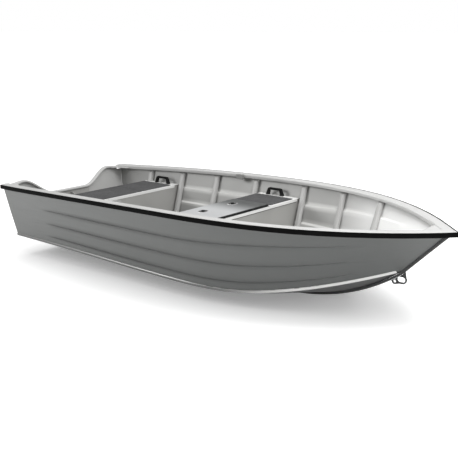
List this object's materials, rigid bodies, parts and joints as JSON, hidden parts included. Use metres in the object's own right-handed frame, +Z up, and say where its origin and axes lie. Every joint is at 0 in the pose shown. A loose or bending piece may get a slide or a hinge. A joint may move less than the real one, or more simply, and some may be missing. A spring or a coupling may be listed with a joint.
{
  "type": "open aluminium fishing dinghy with two thwart seats",
  "caption": "Open aluminium fishing dinghy with lapped pressed sides, white ribs, carpeted thwart seats, a hinged seat hatch and black fender strips",
  "frame": {"origin": "amidships on the centreline, at the waterline of the empty boat", "axes": "+X to the bow, +Y to port, +Z up"},
  "size_m": [3.7601, 1.6596, 0.6706],
  "materials": {
    "hull_sheet": "satin plain aluminium",
    "bright_strip": "bright extrusion",
    "inner_sheet": "pale satin paint",
    "hatch_sheet": "plain silver sheet",
    "fender_rubber": "black, low sheen",
    "seat_carpet": "short looped marine carpet",
    "black_fittings": "black coated",
    "black_plastic": "moulded black",
    "cast_fittings": "cast, satin"
  },
  "bodies": {
    "hull": {"bottom_port": "hull_sheet", "bottom_starboard": "hull_sheet", "side_port": "hull_sheet", "side_starboard": "hull_sheet", "keel": "hull_sheet", "chine_port": "bright_strip", "chine_starboard": "bright_strip", "gunwale_port": "inner_sheet", "gunwale_starboard": "inner_sheet", "fender_port": "fender_rubber", "fender_starboard": "fender_rubber", "transom": "hull_sheet", "transom_cap": "inner_sheet", "motor_pad_inner": "inner_sheet", "motor_pad_outer": "hull_sheet", "transom_knee": "inner_sheet", "corner_plate_port": "inner_sheet", "corner_plate_starboard": "inner_sheet", "bow_plate": "inner_sheet", "bow_eye": "hull_sheet", "frame_1": "inner_sheet", "frame_2": "inner_sheet", "frame_3": "inner_sheet", "frame_4": "inner_sheet", "frame_5": "inner_sheet", "frame_6": "inner_sheet", "frame_7": "inner_sheet", "aft_seat_top": "inner_sheet", "aft_seat_front": "inner_sheet", "aft_seat_back": "inner_sheet", "aft_seat_mats": "seat_carpet", "mid_seat_top": "inner_sheet", "mid_seat_front": "inner_sheet", "mid_seat_back": "inner_sheet", "mid_seat_mats": "seat_carpet", "hinge_fixed_leaf": "black_fittings", "hinge_pin": "black_fittings", "mid_seat_handles": "black_plastic", "aft_seat_handles": "black_plastic", "rowlock_port": "cast_fittings", "rowlock_starboard": "cast_fittings", "drain_bung": "black_plastic"},
    "hatch": {"hatch_lid": "hatch_sheet", "hinge_lid_leaf": "black_fittings", "latch_port": "black_fittings", "latch_starboard": "black_fittings"}
  },
  "joints": [
    {"name": "hatch_hinge", "type": "hinge", "parent": "hull", "child": "hatch", "pos_m": [0.151, 0, 0.436], "axis": [0, 1, 0], "range_deg": [0, 105]}
  ]
}
